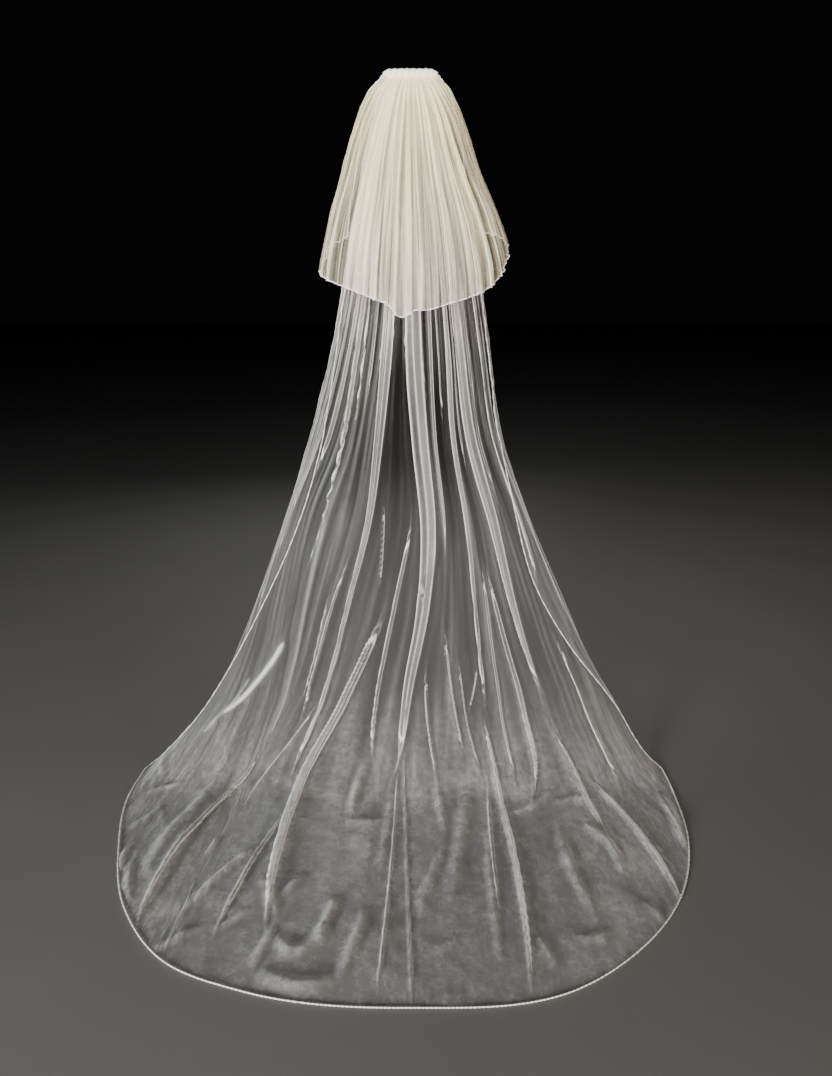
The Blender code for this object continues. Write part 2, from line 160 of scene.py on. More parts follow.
TRAIN_END = (
    Reach(-TRAIN_TURN, 0.780),
    Reach(-78, 0.799),
    Reach(-64, 0.818),
    Reach(-48, 0.862),
    Reach(-36, 0.880),
    Reach(-23, 0.856),
    Reach(0, 0.826),
    Reach(23, 0.853),
    Reach(35, 0.842),
    Reach(48, 0.824),
    Reach(64, 0.784),
    Reach(78, 0.746),
    Reach(TRAIN_TURN, 0.734),
)

# Curved hem of the short tier: how far it hangs below the comb at each place across
Hem = namedtuple("Hem", "across drop")

UPPER_HEM = (
    Hem(-1.00, 0.345),
    Hem(-0.85, 0.372),
    Hem(-0.69, 0.428),
    Hem(-0.50, 0.452),
    Hem(-0.32, 0.474),
    Hem(-0.17, 0.500),
    Hem(-0.09, 0.518),
    Hem(-0.06, 0.538),
    Hem(-0.02, 0.540),
    Hem(0.01, 0.528),
    Hem(0.06, 0.526),
    Hem(0.15, 0.511),
    Hem(0.24, 0.496),
    Hem(0.36, 0.468),
    Hem(0.50, 0.414),
    Hem(0.69, 0.361),
    Hem(0.85, 0.342),
    Hem(1.00, 0.330),
)

# Folds of the long tier keep to its grain lines, which sway sideways on their way down
GRAIN_LINES = {"left": -0.45, "half_left": -0.20, "middle": 0.03, "half_right": 0.22, "right": 0.40}

Sway = namedtuple("Sway", "run left half_left middle half_right right")

GRAIN_SWAY = (
    Sway(0.00, 0.00, 0.00, 0.00, 0.00, 0.00),
    Sway(0.65, 0.00, 0.00, -0.005, 0.065, 0.00),
    Sway(0.85, 0.01, 0.00, 0.025, 0.055, 0.01),
    Sway(1.05, -0.06, -0.01, 0.04, 0.03, -0.01),
    Sway(1.30, -0.06, -0.07, 0.005, -0.015, -0.055),
    Sway(1.60, -0.05, -0.14, -0.05, -0.02, -0.01),
    Sway(1.85, -0.02, -0.17, -0.065, -0.01, 0.05),
    Sway(2.00, -0.02, -0.17, -0.065, -0.01, 0.05),
)

# A fold runs down the cloth from `start` to `end`, at three places across. `half_start`,
# `half_middle` and `half_end` are half its width, and `height` is how far it stands out.
# `tuck_left` and `tuck_right` say how far the cloth doubles under itself on that side, and
# `stack` is how many layers of net lie on each other along its turns.
Fold = namedtuple("Fold", "start end place_start place_middle place_end "
                          "half_start half_middle half_end height tuck_left tuck_right stack")

HANGING_FOLDS = (
    Fold(0.00, 1.66, -0.880, -0.870, -0.840, 0.009, 0.012, 0.015, 0.010, 0.00, 0.00, 11),
    Fold(0.00, 1.60, -0.800, -0.790, -0.740, 0.010, 0.014, 0.017, 0.012, 0.00, 0.00, 11),
    Fold(0.00, 1.45, -0.710, -0.700, -0.660, 0.009, 0.012, 0.014, 0.010, 0.50, 0.00, 15),
    Fold(0.00, 1.30, -0.630, -0.620, -0.600, 0.010, 0.012, 0.014, 0.012, 0.00, 0.40, 13),
    Fold(0.00, 1.18, -0.545, -0.545, -0.560, 0.010, 0.011, 0.012, 0.012, 0.50, 0.00, 18),
    Fold(0.00, 1.04, -0.450, -0.456, -0.468, 0.010, 0.010, 0.008, 0.013, 0.75, 0.00, 31),
    Fold(0.00, 1.17, -0.378, -0.380, -0.305, 0.013, 0.012, 0.005, 0.014, 0.80, 0.00, 34),
    Fold(0.00, 0.92, -0.325, -0.340, -0.285, 0.009, 0.007, 0.004, 0.010, 0.70, 0.00, 26),
    Fold(0.00, 0.85, -0.265, -0.270, -0.260, 0.009, 0.008, 0.005, 0.010, 0.00, 0.60, 18),
    Fold(0.00, 1.92, -0.178, -0.160, -0.146, 0.030, 0.011, 0.007, 0.020, 0.50, 0.85, 36),
    Fold(1.10, 1.74, -0.182, -0.200, -0.172, 0.005, 0.011, 0.006, 0.010, 0.60, 0.00, 26),
    Fold(0.00, 0.78, -0.215, -0.222, -0.200, 0.005, 0.006, 0.004, 0.006, 0.00, 0.50, 20),
    Fold(0.00, 0.72, -0.110, -0.112, -0.120, 0.007, 0.007, 0.004, 0.008, 0.60, 0.00, 18),
    Fold(0.00, 0.74, -0.040, -0.038, -0.036, 0.007, 0.007, 0.004, 0.008, 0.00, 0.60, 18),
    Fold(0.00, 1.86, 0.020, 0.031, 0.034, 0.014, 0.021, 0.007, 0.020, 0.75, 0.75, 37),
    Fold(0.00, 1.30, 0.022, 0.027, 0.030, 0.004, 0.005, 0.004, 0.006, 0.00, 0.00, 35),
    Fold(1.08, 1.34, 0.052, 0.030, 0.012, 0.006, 0.009, 0.006, 0.010, 0.00, 0.00, 35),
    Fold(0.00, 1.24, 0.130, 0.114, 0.102, 0.009, 0.008, 0.004, 0.014, 0.00, 0.70, 29),
    Fold(0.00, 0.84, 0.082, 0.084, 0.088, 0.006, 0.006, 0.004, 0.007, 0.60, 0.00, 20),
    Fold(0.00, 0.90, 0.170, 0.170, 0.165, 0.008, 0.008, 0.004, 0.010, 0.60, 0.00, 20),
    Fold(0.00, 1.68, 0.234, 0.218, 0.227, 0.010, 0.007, 0.006, 0.015, 0.75, 0.60, 35),
    Fold(0.00, 1.02, 0.285, 0.285, 0.280, 0.009, 0.008, 0.005, 0.010, 0.00, 0.60, 18),
    Fold(0.00, 1.66, 0.345, 0.386, 0.400, 0.019, 0.017, 0.004, 0.018, 0.75, 0.75, 33),
    Fold(0.00, 1.10, 0.455, 0.465, 0.460, 0.008, 0.008, 0.007, 0.010, 0.00, 0.60, 18),
    Fold(0.00, 1.36, 0.500, 0.640, 0.520, 0.012, 0.010, 0.006, 0.014, 0.70, 0.00, 26),
    Fold(0.00, 1.50, 0.660, 0.700, 0.660, 0.010, 0.011, 0.012, 0.010, 0.00, 0.00, 9),
    Fold(0.00, 1.60, 0.780, 0.785, 0.740, 0.010, 0.013, 0.015, 0.010, 0.00, 0.00, 9),
    Fold(0.00, 1.62, 0.880, 0.870, 0.830, 0.009, 0.012, 0.015, 0.010, 0.00, 0.00, 9),
    Fold(0.98, 1.30, -0.125, -0.103, -0.080, 0.006, 0.008, 0.006, 0.007, 0.00, 0.50, 22),
    Fold(0.99, 1.86, -0.020, -0.038, -0.016, 0.006, 0.011, 0.007, 0.016, 0.80, 0.00, 37),
    Fold(0.92, 1.88, -0.312, -0.320, -0.292, 0.012, 0.020, 0.015, 0.013, 0.00, 0.00, 9),
    Fold(0.92, 1.32, -0.305, -0.337, -0.372, 0.006, 0.007, 0.005, 0.007, 0.00, 0.00, 22),
    Fold(1.22, 1.66, -0.235, -0.217, -0.203, 0.005, 0.008, 0.005, 0.008, 0.50, 0.00, 22),
    Fold(1.30, 1.86, 0.098, 0.138, 0.168, 0.007, 0.012, 0.007, 0.012, 0.00, 0.50, 22),
    Fold(1.42, 1.94, 0.064, 0.096, 0.112, 0.007, 0.011, 0.007, 0.011, 0.50, 0.00, 18),
    Fold(1.40, 1.92, 0.154, 0.170, 0.200, 0.006, 0.010, 0.007, 0.012, 0.00, 0.50, 22),
    Fold(1.12, 1.96, 0.264, 0.262, 0.270, 0.005, 0.010, 0.006, 0.013, 0.00, 0.60, 26),
    Fold(1.14, 2.02, 0.276, 0.324, 0.285, 0.005, 0.012, 0.007, 0.016, 0.00, 0.80, 31),
    Fold(1.44, 1.68, 0.222, 0.197, 0.168, 0.005, 0.008, 0.005, 0.008, 0.00, 0.00, 31),
    Fold(1.34, 2.02, 0.532, 0.574, 0.550, 0.007, 0.013, 0.007, 0.014, 0.50, 0.00, 29),
    Fold(1.30, 1.80, -0.350, -0.500, -0.800, 0.020, 0.028, 0.018, 0.018, 0.00, 0.00, 50),
    Fold(1.44, 1.86, -0.520, -0.620, -0.800, 0.014, 0.019, 0.012, 0.010, 0.00, 0.00, 9),
)

TRAIN_FOLDS = (
    Fold(1.26, 2.46, -0.048, -0.123, -0.112, 0.013, 0.016, 0.009, 0.019, 0.85, 0.40, 29),
    Fold(1.70, 2.50, -0.290, -0.480, -0.465, 0.010, 0.012, 0.007, 0.011, 0.00, 0.60, 26),
    Fold(1.54, 2.04, -0.150, -0.187, -0.250, 0.007, 0.010, 0.005, 0.010, 0.50, 0.00, 23),
    Fold(1.96, 2.50, -0.125, -0.161, -0.174, 0.006, 0.010, 0.006, 0.008, 0.00, 0.50, 23),
    Fold(1.52, 1.98, 0.048, 0.036, 0.008, 0.006, 0.009, 0.005, 0.007, 0.00, 0.00, 16),
    Fold(1.76, 2.66, 0.032, 0.027, 0.012, 0.005, 0.006, 0.005, 0.006, 0.40, 0.00, 26),
    Fold(1.66, 2.68, 0.042, 0.053, 0.067, 0.005, 0.005, 0.005, 0.005, 0.00, 0.40, 23),
    Fold(1.58, 2.62, 0.208, 0.228, 0.199, 0.010, 0.010, 0.005, 0.011, 0.00, 0.75, 29),
    Fold(1.62, 2.20, 0.385, 0.406, 0.412, 0.006, 0.010, 0.005, 0.008, 0.00, 0.60, 23),
    Fold(1.84, 2.46, 0.420, 0.514, 0.494, 0.007, 0.012, 0.006, 0.010, 0.00, 0.50, 26),
    Fold(1.98, 2.30, 0.760, 0.700, 0.650, 0.006, 0.011, 0.006, 0.006, 0.00, 0.00, 16),
    Fold(1.84, 2.46, 0.213, 0.190, 0.180, 0.006, 0.008, 0.005, 0.007, 0.40, 0.00, 19),
)

# Folds of the short tier: gathered at the comb and open at the hem
Gather = namedtuple("Gather", "across half height tuck_left tuck_right stack")

UPPER_GATHERS = (
    Gather(-0.96, 0.016, 0.009, 0.8, 0.0, 6),
    Gather(-0.89, 0.014, 0.009, 0.0, 0.9, 6),
    Gather(-0.82, 0.013, 0.007, 0.9, 0.0, 6),
    Gather(-0.74, 0.011, 0.004, 0.0, 0.0, 5),
    Gather(-0.66, 0.009, 0.004, 0.5, 0.0, 8),
    Gather(-0.56, 0.009, 0.005, 0.0, 0.6, 10),
    Gather(-0.46, 0.010, 0.007, 0.7, 0.0, 20),
    Gather(-0.39, 0.010, 0.007, 0.0, 0.6, 18),
    Gather(-0.30, 0.010, 0.009, 0.8, 0.0, 20),
    Gather(-0.24, 0.008, 0.007, 0.7, 0.0, 24),
    Gather(-0.17, 0.010, 0.009, 0.0, 0.8, 24),
    Gather(-0.115, 0.010, 0.011, 0.8, 0.8, 32),
    Gather(-0.06, 0.008, 0.007, 0.5, 0.0, 20),
    Gather(-0.01, 0.010, 0.009, 0.0, 0.8, 28),
    Gather(0.05, 0.010, 0.009, 0.7, 0.0, 28),
    Gather(0.10, 0.008, 0.007, 0.0, 0.6, 24),
    Gather(0.165, 0.010, 0.009, 0.7, 0.7, 26),
    Gather(0.22, 0.007, 0.006, 0.0, 0.0, 16),
    Gather(0.285, 0.010, 0.009, 0.7, 0.7, 26),
    Gather(0.36, 0.010, 0.009, 0.7, 0.0, 20),
    Gather(0.44, 0.011, 0.009, 0.7, 0.0, 20),
    Gather(0.54, 0.009, 0.005, 0.0, 0.4, 8),
    Gather(0.64, 0.009, 0.004, 0.5, 0.0, 8),
    Gather(0.73, 0.011, 0.004, 0.0, 0.0, 5),
    Gather(0.81, 0.013, 0.007, 0.0, 0.9, 6),
    Gather(0.88, 0.014, 0.009, 0.9, 0.0, 6),
    Gather(0.95, 0.014, 0.008, 0.0, 0.8, 6),
)

# Low ridges that lie across the train: three points on the floor, half width, height and
# the layers of net along the crest
Ridge = namedtuple("Ridge", "x1 y1 x2 y2 x3 y3 half height stack")

FLOOR_RIDGES = (
    Ridge(-0.29, -0.74, -0.24, -0.79, -0.19, -0.72, 0.020, 0.012, 8),
    Ridge(-0.20, -0.77, -0.18, -0.69, -0.17, -0.63, 0.018, 0.012, 10),
    Ridge(-0.31, -0.84, -0.22, -0.875, -0.15, -0.85, 0.022, 0.012, 8),
    Ridge(-0.15, -0.86, -0.12, -0.77, -0.10, -0.66, 0.018, 0.011, 8),
    Ridge(-0.29, -0.68, -0.31, -0.77, -0.33, -0.83, 0.016, 0.008, 6),
    Ridge(-0.10, -0.08, -0.15, -0.22, -0.16, -0.34, 0.018, 0.016, 12),
    Ridge(-0.17, -0.36, -0.13, -0.37, -0.06, -0.36, 0.016, 0.010, 6),
    Ridge(0.26, -0.33, 0.32, -0.31, 0.39, -0.24, 0.016, 0.012, 10),
    Ridge(-0.38, -0.46, -0.44, -0.54, -0.51, -0.67, 0.014, 0.012, 12),
    Ridge(-0.53, -0.17, -0.61, -0.38, -0.64, -0.57, 0.024, 0.014, 8),
    Ridge(-0.57, -0.33, -0.59, -0.50, -0.60, -0.67, 0.020, 0.009, 6),
    Ridge(-0.49, -0.42, -0.50, -0.46, -0.51, -0.49, 0.014, 0.008, 6),
    Ridge(-0.36, -0.66, -0.39, -0.70, -0.43, -0.73, 0.013, 0.008, 10),
    Ridge(-0.36, -0.56, -0.32, -0.64, -0.30, -0.69, 0.016, 0.010, 8),
    Ridge(-0.30, -0.63, -0.28, -0.60, -0.25, -0.56, 0.013, 0.009, 10),
    Ridge(-0.72, -0.17, -0.73, -0.11, -0.72, -0.04, 0.012, 0.008, 8),
    Ridge(-0.74, -0.24, -0.69, -0.22, -0.64, -0.20, 0.013, 0.008, 8),
    Ridge(-0.74, -0.40, -0.71, -0.36, -0.67, -0.30, 0.015, 0.008, 6),
    Ridge(-0.70, -0.55, -0.71, -0.50, -0.70, -0.44, 0.013, 0.007, 6),
    Ridge(-0.64, -0.65, -0.67, -0.58, -0.68, -0.51, 0.014, 0.008, 8),
    Ridge(-0.54, -0.79, -0.50, -0.75, -0.45, -0.72, 0.015, 0.008, 6),
    Ridge(-0.06, -0.20, -0.06, -0.40, -0.08, -0.55, 0.016, 0.009, 6),
    Ridge(0.07, -0.20, 0.08, -0.32, 0.09, -0.42, 0.014, 0.009, 8),
    Ridge(0.09, -0.44, 0.05, -0.57, 0.02, -0.67, 0.016, 0.008, 4),
    Ridge(0.17, -0.12, 0.13, -0.42, 0.09, -0.65, 0.024, 0.012, 6),
    Ridge(0.20, -0.39, 0.19, -0.60, 0.19, -0.83, 0.015, 0.010, 10),
    Ridge(0.39, -0.35, 0.39, -0.54, 0.42, -0.69, 0.020, 0.010, 6),
    Ridge(0.40, -0.29, 0.44, -0.27, 0.49, -0.27, 0.013, 0.009, 8),
    Ridge(0.35, -0.75, 0.40, -0.755, 0.44, -0.73, 0.015, 0.008, 6),
    Ridge(0.28, -0.74, 0.29, -0.79, 0.31, -0.83, 0.013, 0.007, 6),
    Ridge(0.04, -0.79, 0.08, -0.77, 0.11, -0.75, 0.014, 0.007, 4),
    Ridge(0.45, -0.38, 0.50, -0.45, 0.51, -0.56, 0.018, 0.012, 10),
    Ridge(0.53, -0.65, 0.55, -0.68, 0.56, -0.71, 0.013, 0.007, 6),
    Ridge(0.70, -0.24, 0.70, -0.35, 0.68, -0.47, 0.018, 0.010, 8),
)

# Places where the net lies single between two folds, and the share of layers missing there
Gap = namedtuple("Gap", "start end place_start place_end half share")

THIN_GAPS = (
    Gap(0.55, 1.32, -0.065, -0.075, 0.040, 0.75),
    Gap(0.62, 1.20, 0.150, 0.155, 0.035, 0.65),
    Gap(0.75, 1.30, 0.290, 0.285, 0.030, 0.60),
    Gap(0.70, 1.10, -0.290, -0.240, 0.035, 0.55),
)

# Fine gathers between the folds: waves across the width of the cloth, with their height
# and how far they drift sideways on their way down
Ripple = namedtuple("Ripple", "waves height phase drift")

FINE_GATHERS = (
    Ripple(19, 0.0022, 0.3, 0.5),
    Ripple(31, 0.0018, 1.7, -0.6),
    Ripple(47, 0.0013, 4.1, 0.8),
    Ripple(71, 0.0008, 2.6, -1.0),
)

# Soft crumples of the cloth: waves per metre across and down, with their height
Crumple = namedtuple("Crumple", "across down height phase")

CRUMPLES = (
    Crumple(3.1, 2.3, 0.0010, 0.4),
    Crumple(-4.7, 3.9, 0.0009, 2.1),
    Crumple(7.9, -5.3, 0.0007, 5.0),
    Crumple(11.3, 9.1, 0.0006, 3.3),
    Crumple(-17.0, 13.0, 0.0004, 1.2),
    Crumple(23.0, -9.0, 0.0003, 4.4),
)

# How many layers of net lie on each other where the cloth is drawn together
Layers = namedtuple("Layers", "run count")

LOWER_LAYERS = (
    Layers(0.00, 20.0),
    Layers(0.10, 10.0),
    Layers(0.25, 4.5),
    Layers(0.45, 1.4),
    Layers(0.60, 0.8),
    Layers(0.80, 0.65),
    Layers(1.10, 0.6),
    Layers(1.60, 1.0),
    Layers(1.90, 3.2),
    Layers(2.80, 3.8),
)

# How the hanging net thickens where its gathers crowd together
Crowd = namedtuple("Crowd", "across share")

LOWER_CROWDING = (
    Crowd(-1.00, 1.0),
    Crowd(-0.80, 1.4),
    Crowd(-0.52, 1.9),
    Crowd(-0.34, 1.9),
    Crowd(-0.22, 1.6),
    Crowd(-0.12, 1.0),
    Crowd(-0.06, 0.6),
    Crowd(0.02, 0.9),
    Crowd(0.10, 1.0),
    Crowd(0.16, 0.8),
    Crowd(0.24, 1.5),
    Crowd(0.42, 1.8),
    Crowd(0.60, 1.4),
    Crowd(0.80, 1.1),
    Crowd(1.00, 0.9),
)

UPPER_LAYERS = (
    Layers(0.00, 40.0),
    Layers(0.04, 20.0),
    Layers(0.12, 10.0),
    Layers(0.25, 6.5),
    Layers(0.40, 5.0),
    Layers(0.56, 4.5),
)


def read(rows, column, places):
    """Smooth curve through one column of a table, read at the given places."""
    knots = np.array([row[0] for row in rows], float)
    values = np.array([getattr(row, column) for row in rows], float)
    slopes = np.gradient(values, knots)
    places = np.clip(places, knots[0], knots[-1])
    i = np.clip(np.searchsorted(knots, places, side="right") - 1, 0, len(knots) - 2)
    gap = knots[i + 1] - knots[i]
    t = (places - knots[i]) / gap
    start = (1 + 2 * t) * (1 - t) ** 2 * values[i] + t * (1 - t) ** 2 * gap * slopes[i]
    end = t * t * (3 - 2 * t) * values[i + 1] - t * t * (1 - t) * gap * slopes[i + 1]
    return start + end


def ease(t):
    """Smooth step from 0 to 1."""
    t = np.clip(t, 0, 1)
    return t * t * (3 - 2 * t)


def unit(vectors):
    return vectors / np.linalg.norm(vectors, axis=-1)[..., None]


def section_point(sections, across, drop):
    """Point of a hanging tier, before its folds."""
    left = across < 0
    half = np.where(left, read(sections, "left", drop), read(sections, "right", drop))
    wrap = np.where(left, read(sections, "wrap_left", drop), read(sections, "wrap_right", drop))
    turn = np.radians(wrap * across)
    x = half * np.sin(turn)
    y = read(sections, "middle_y", drop) - read(sections, "depth", drop) * np.cos(turn)
    return np.stack([x, y, -drop + 0 * x], -1)


def grain(place, run):
    """Where a grain line of the long tier lies across, after its sway."""
    lines = [-1, *GRAIN_LINES.values(), 1]
    across = place + 0 * run
    for before, line, after, name in zip(lines, lines[1:], lines[2:], GRAIN_LINES):
        left = ease((place - before) / (line - before))
        right = ease((after - place) / (after - line))
        across = across + read(GRAIN_SWAY, name, run) * np.where(place < line, left, right)
    return across


def train_line(across):
    """Where a line down the cloth lands on the floor, and where it ends at the hem."""
    turn = np.radians(TRAIN_TURN * across)
    reach = read(TRAIN_END, "reach", TRAIN_TURN * across)
    floor = np.full_like(across, FLOOR_DROP)
    hem = np.stack([reach * np.sin(turn), TRAIN_POLE_Y - reach * np.cos(turn), -floor], -1)
    return section_point(LOWER_SECTIONS, across, floor), hem


def lower_point(place, run):
    """Point of the long tier before its folds: down from the comb, then along the floor."""
    across = grain(place, run)
    landing, hem = train_line(across)
    length = np.linalg.norm(hem - landing, axis=-1)
    ahead = (hem - landing) / length[..., None]
    radius = np.minimum(LANDING_RADIUS, LANDING_SHARE * length)
    hung = section_point(LOWER_SECTIONS, across, np.minimum(run, FLOOR_DROP - radius))
    laid = landing + ahead * np.maximum(run - FLOOR_DROP, radius)[..., None]
    t = np.clip((run - FLOOR_DROP + radius) / (2 * radius), 0, 1)[..., None]
    bent = (1 - t) ** 2 * hung + 2 * t * (1 - t) * landing + t * t * laid
    return np.where(t == 0, hung, np.where(t == 1, laid, bent))


def upper_point(across, run):
    """Point of the short tier before its folds."""
    return section_point(UPPER_SECTIONS, across, run)


def lower_length(place):
    """Length of the long tier down one grain line."""
    landing, hem = train_line(grain(place, np.full_like(place, GRAIN_SWAY[-1].run)))
    return FLOOR_DROP + np.linalg.norm(hem - landing, axis=-1)


def upper_length(across):
    """Length of the short tier down one grain line."""
    return read(UPPER_HEM, "drop", across)


def frame_at(point, place, run):
    """Sideways direction, outward direction and metres across per unit of `place`."""
    step = MEASURE_STEP
    side = (point(place + step, run) - point(place - step, run)) / (2 * step)
    down = point(place, run + step) - point(place, run - step)
    return unit(side), unit(np.cross(down, side)), np.linalg.norm(side, axis=-1)


def fold_line(fold, run):
    """Place of a fold's ridge, through its three given places."""
    t = (run - fold.start) / (fold.end - fold.start)
    start = fold.place_start * (1 - t) * (1 - 2 * t)
    return start + fold.place_middle * 4 * t * (1 - t) + fold.place_end * t * (2 * t - 1)


def fold_width(fold, t):
    """Half the width of a fold, narrow at one end or both."""
    start = fold.half_start * (1 - t) * (1 - 2 * t)
    half = start + fold.half_middle * 4 * t * (1 - t) + fold.half_end * t * (2 * t - 1)
    return np.maximum(half, FOLD_LEAST)


def folded(point, folds, place, run):
    """Point of a tier with its folds raised and tucked, its outward direction, the extra layers
    inside its folds, the place across the nearest fold and the layers at that fold's upper
    and lower turns."""
    base = point(place, run)
    side, out, scale = frame_at(point, place, run)
    open_share = np.minimum(1, scale / OPEN_SCALE)
    tucked = ease((run - TUCK_START) / (TUCK_FULL - TUCK_START))
    shift, rise, layers, stack, under = (np.zeros_like(run) for _ in range(5))
    nearest = np.full_like(run, FOLD_FAR)
    for fold in folds:
        t = np.clip((run - fold.start) / (fold.end - fold.start), 0, 1)
        half = fold_width(fold, t) * open_share
        away = (place - fold_line(fold, run)) * scale / half
        taper = min(TAPER_MOST, TAPER_SHARE * (fold.end - fold.start))
        begins = ease((run - fold.start) / (taper if fold.start else GATHER_LENGTH))
        ends = ease((fold.end - run) / taper)
        alive = begins * ends * (np.abs(away) < 1)
        swell = np.cos(0.5 * pi * away) ** 2
        rise += alive * fold.height * open_share * swell
        tuck = np.where(away < 0, fold.tuck_left, fold.tuck_right)
        shift += alive * tucked * tuck * half * np.sin(2 * pi * away)
        layers += alive * fold.stack * BAND_SHARE * swell
        soft = max(fold.tuck_left, fold.tuck_right) == 0
        turn = FOLD_TURN + SOFT_RIDGE * np.abs(away) if soft else np.abs(away)
        turn = turn + CLOSING * (1 - begins * ends)
        folding = LOOSE_STACK + (1 - LOOSE_STACK) * tucked
        upper = fold.stack * folding * (SOFT_STACK if soft else np.minimum(1, tuck / FULL_TUCK))
        lower = upper * (0 if soft else TURN_UNDER) * (begins * ends) ** 2
        stack = np.where(turn < nearest, upper, stack)
        under = np.where(turn < nearest, lower, under)
        nearest = np.minimum(turn, nearest)
    points = base + side * shift[..., None] + out * rise[..., None]
    return points, out, layers, nearest, stack, under


def crowded_places(point, folds, columns):
    """Places of the columns of a tier, closer together at its folds."""
    place = np.linspace(-1, 1, CROWD_STEPS)
    metres = frame_at(point, place, np.full_like(place, CROWD_RUN))[2]
    near = np.zeros_like(place)
    for fold in folds:
        for run in np.linspace(fold.start, fold.end, 5):
            near += np.exp(-((place - fold_line(fold, run)) / CROWD_REACH) ** 2)
    weight = metres * (1 + CROWD_GAIN * np.minimum(near, CROWD_MOST))
    share = np.cumsum(weight)
    share = (share - share[0]) / (share[-1] - share[0])
    return np.interp(np.linspace(0, 1, columns + 1), share, place)


def crest(turns):
    """Sharp crests between wide soft hollows."""
    return (1 - np.abs(np.sin(pi * turns))) ** 2


def fine_gathers(place, run):
    """Height of the fine gathers, which die away down the cloth."""
    height = np.zeros_like(run)
    for ripple in FINE_GATHERS:
        wander = 0.12 * np.sin(3.1 * run + ripple.phase) + ripple.drift * 0.06 * run
        height += ripple.height * crest(ripple.waves * (place + wander * place) + ripple.phase)
    return height


def crumples(place, run, half_width):
    """Height of the soft crumples of a tier."""
    height = np.zeros_like(run)
    bend = 0.15 * np.sin(2.2 * run + 1.3 * place)
    for crumple in CRUMPLES:
        waves = crumple.across * (place * half_width + bend) + crumple.down * (run + 0.3 * bend)
        height += crumple.height * np.sin(2 * pi * waves + crumple.phase)
    return height


def ridge_marks(points):
    """Height and extra layers of the train's ridges at points of the cloth, less beside each crest as
    painted shade.
    """
    height = np.zeros(len(points))
    layers = np.zeros(len(points))
    t = np.linspace(0, 1, RIDGE_POINTS)[:, None]
    for ridge in FLOOR_RIDGES:
        start, middle, end = (np.array(ridge[i:i + 2]) for i in (0, 2, 4))
        line = (1 - t) * (1 - 2 * t) * start + 4 * t * (1 - t) * middle + t * (2 * t - 1) * end
        gaps = np.linalg.norm(points[:, None, :2] - line[None], axis=-1)
        nearest = gaps.argmin(axis=1)
        fade = np.sin(pi * t[nearest, 0]) ** RIDGE_END
        away = gaps.min(axis=1) / ridge.half
        height += ridge.height * fade * np.exp(-RIDGE_SLOPE * away ** 2)
        top = CREST_SHARE * np.exp(-(away / CREST_WIDTH) ** 2)
        # Painted shade: fewer layers of net in the hollow beside the ridge, so that it looks darker
        hollow_shade = HOLLOW_SHADE_SHARE * np.exp(-(away - HOLLOW_SHADE_AWAY) ** 2 / HOLLOW_SHADE_SPREAD)
        layers += ridge.stack * fade * (top - hollow_shade)
    return height, layers


def gap_share(place, run):
    """Share of the layers that is left in the thin gaps between folds."""
    share = np.ones_like(run)
    for gap in THIN_GAPS:
        t = (run - gap.start) / (gap.end - gap.start)
        middle = gap.place_start + (gap.place_end - gap.place_start) * t
        inside = ease(4 * t) * ease(4 * (1 - t)) * np.exp(-((place - middle) / gap.half) ** 4)
        share *= 1 - gap.share * inside
    return share


def lower_tier(column, down):
    """Long tier at a column from -1 to 1, and at `down` from 0 at the comb to 1 at the hem."""
    folds = HANGING_FOLDS + TRAIN_FOLDS
    places = crowded_places(lower_point, folds, LOWER_COLUMNS)
    place = np.interp(column, np.linspace(-1, 1, len(places)), places)
    spaced = ROW_SPREAD * down + (1 - ROW_SPREAD) * down ** 2
    run = spaced * (lower_length(place) + TIER_RISE) - TIER_RISE
    points, out, inside, *turns = folded(lower_point, folds, place, run)
    lying = ease((run - FLOOR_DROP + LYING_REACH) / (2 * LYING_REACH))
    laid = lying > 0
    ridge_height, ridge_layers_and_shade = np.zeros_like(run), np.zeros_like(run)
    ridge_height[laid], ridge_layers_and_shade[laid] = ridge_marks(points[laid])
    small = fine_gathers(place, run) * (1 - ease((run - GATHERS_FADE[0]) / GATHERS_FADE[1]))
    crumpled = HUNG_CRUMPLES + (1 - HUNG_CRUMPLES) * lying
    small += crumples(place, run, LOWER_CUT[0] / 2) * crumpled
    small *= ease((run + TIER_RISE) / COMB_FADE)
    small += ridge_height * lying
    points += out * small[..., None]
    points[:, 2] = np.maximum(points[:, 2], FLOOR_GAP - FLOOR_DROP)
    hanging = 1 - ease((run - CROWDING_FADE[0]) / CROWDING_FADE[1])
    crowding = 1 + (read(LOWER_CROWDING, "share", place) - 1) * hanging
    layers = read(LOWER_LAYERS, "count", run) * crowding * gap_share(place, run)
    layers = np.maximum(layers + inside + ridge_layers_and_shade * lying, LEAST_LAYERS)
    return points, place * LOWER_CUT[0] / 2, run, dict(zip(MARKS, (layers, *turns)))


def upper_folds():
    """Gathers of the short tier as folds that run its whole length."""
    return [Fold(0.0, 1.0, g.across, g.across, g.across, g.half, g.half, g.half, g.height,
                 g.tuck_left, g.tuck_right, g.stack) for g in UPPER_GATHERS]


def upper_tier(place, down):
    """Short tier at a column from -1 to 1, and at `down` from 0 at the comb to 1 at the hem."""
    run = down * (upper_length(place) + TIER_RISE) - TIER_RISE
    points, out, inside, *turns = folded(upper_point, upper_folds(), place, run)
    small = fine_gathers(place, run) + HUNG_CRUMPLES * crumples(place, run, UPPER_CUT[0] / 2)
    points += out * (small * ease((run + TIER_RISE) / COMB_FADE))[..., None]
    sheer = 1 - SHEER_SHARE * ease((np.abs(place) - SHEER_FROM) / SHEER_OVER)
    layers = read(UPPER_LAYERS, "count", run) * sheer + inside
    return points, place * UPPER_CUT[0] / 2, run, dict(zip(MARKS, (layers, *turns)))


def piece(name, mesh, material):
    """Finished piece that hangs from the comb with the rest of the veil."""
    obj = bpy.data.objects.new(name, mesh)
    bpy.context.scene.collection.objects.link(obj)
    mesh.materials.clear()
    mesh.materials.append(material)
    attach(obj, "root")
    return obj


